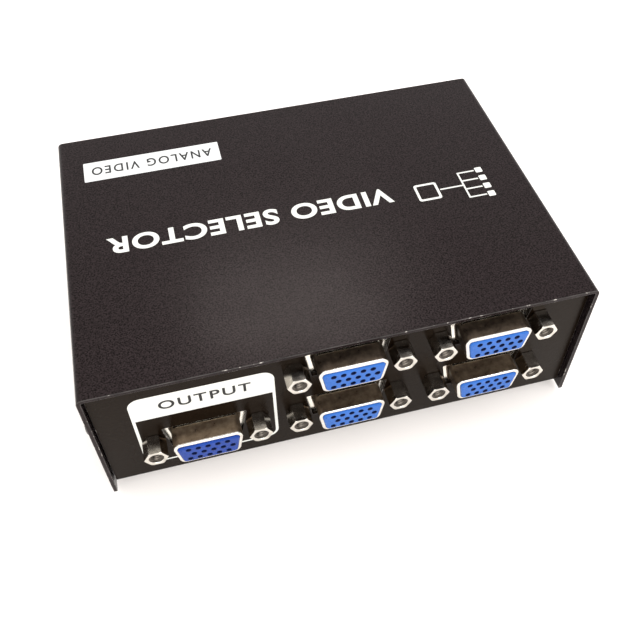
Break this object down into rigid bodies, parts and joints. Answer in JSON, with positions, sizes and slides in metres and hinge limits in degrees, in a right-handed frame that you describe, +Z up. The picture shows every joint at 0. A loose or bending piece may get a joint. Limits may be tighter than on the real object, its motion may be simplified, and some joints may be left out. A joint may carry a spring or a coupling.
{
  "type": "kvm switch",
  "caption": "Desktop selector box for analog video: folded black steel case, common and input ports on the rear, interlocked push buttons on the front.",
  "frame": {"origin": "on the floor, midway between the outermost faces of the box in X and Y", "axes": "+Z up; the push buttons face -Y and the ports face +Y; +X is the right-hand side seen from the front"},
  "size_m": [0.1252, 0.0964, 0.0432],
  "materials": {
    "black_paint": "fine-textured powder coat on folded steel, near black with a warm cast",
    "nickel": "bright nickel plate",
    "blue_nylon": "glass-filled nylon, royal blue",
    "zinc": "zinc-plated steel",
    "black_oxide": "black-oxide steel screw",
    "black_rubber": "soft rubber foot",
    "green_board": "solder mask over glass-fibre board",
    "black_plastic": "moulded plastic",
    "cap_plastic": "satin moulded button cap",
    "ivory_plastic": "acetal plunger",
    "spring_steel": "bare spring wire",
    "white_vinyl": "printed vinyl label"
  },
  "bodies": {
    "case": {"cover": "black_paint", "base_chassis": "black_paint", "top_label": "white_vinyl", "foot_front_left": "black_rubber", "cover_screw_front_left": "black_oxide", "foot_rear_left": "black_rubber", "cover_screw_rear_left": "black_oxide", "foot_front_right": "black_rubber", "cover_screw_front_right": "black_oxide", "foot_rear_right": "black_rubber", "cover_screw_rear_right": "black_oxide", "vga_shell_output": "nickel", "vga_insulator_output": "blue_nylon", "jackscrew_output_left": "nickel", "jackscrew_output_right": "nickel", "vga_shell_input_1": "nickel", "vga_insulator_input_1": "blue_nylon", "jackscrew_input_1_left": "nickel", "jackscrew_input_1_right": "nickel", "vga_shell_input_2": "nickel", "vga_insulator_input_2": "blue_nylon", "jackscrew_input_2_left": "nickel", "jackscrew_input_2_right": "nickel", "vga_shell_input_3": "nickel", "vga_insulator_input_3": "blue_nylon", "jackscrew_input_3_left": "nickel", "jackscrew_input_3_right": "nickel", "vga_shell_input_4": "nickel", "vga_insulator_input_4": "blue_nylon", "jackscrew_input_4_left": "nickel", "jackscrew_input_4_right": "nickel", "main_board": "green_board", "port_board": "green_board", "header_link": "black_plastic", "board_screw_front_left": "zinc", "board_screw_rear_left": "zinc", "board_screw_front_right": "zinc", "board_screw_rear_right": "zinc", "switch_body_1": "black_plastic", "return_spring_1": "spring_steel", "switch_body_2": "black_plastic", "return_spring_2": "spring_steel", "switch_body_3": "black_plastic", "return_spring_3": "spring_steel", "switch_body_4": "black_plastic", "return_spring_4": "spring_steel", "switch_bracket": "zinc", "latch_spring": "spring_steel"},
    "button_1": {"button_cap_1": "cap_plastic", "plunger_1": "ivory_plastic"},
    "button_2": {"button_cap_2": "cap_plastic", "plunger_2": "ivory_plastic"},
    "button_3": {"button_cap_3": "cap_plastic", "plunger_3": "ivory_plastic"},
    "button_4": {"button_cap_4": "cap_plastic", "plunger_4": "ivory_plastic"},
    "latch": {"latch_bar": "zinc"}
  },
  "joints": [
    {"name": "press_1", "type": "slide", "parent": "case", "child": "button_1", "axis": [0, 1, 0], "range_m": [0, 0.004], "stiffness_N_per_m": 300, "springref_m": -0.006, "deforming": ["return_spring_1"]},
    {"name": "press_2", "type": "slide", "parent": "case", "child": "button_2", "axis": [0, 1, 0], "range_m": [0, 0.004], "stiffness_N_per_m": 300, "springref_m": -0.006, "deforming": ["return_spring_2"]},
    {"name": "press_3", "type": "slide", "parent": "case", "child": "button_3", "axis": [0, 1, 0], "range_m": [0, 0.004], "stiffness_N_per_m": 300, "springref_m": -0.006, "deforming": ["return_spring_3"]},
    {"name": "press_4", "type": "slide", "parent": "case", "child": "button_4", "axis": [0, 1, 0], "range_m": [0, 0.004], "stiffness_N_per_m": 300, "springref_m": -0.006, "deforming": ["return_spring_4"]},
    {"name": "latch_slide", "type": "slide", "parent": "case", "child": "latch", "axis": [1, 0, 0], "range_m": [0, 0.0015], "stiffness_N_per_m": 200, "springref_m": -0.003, "deforming": ["latch_spring"]}
  ]
}
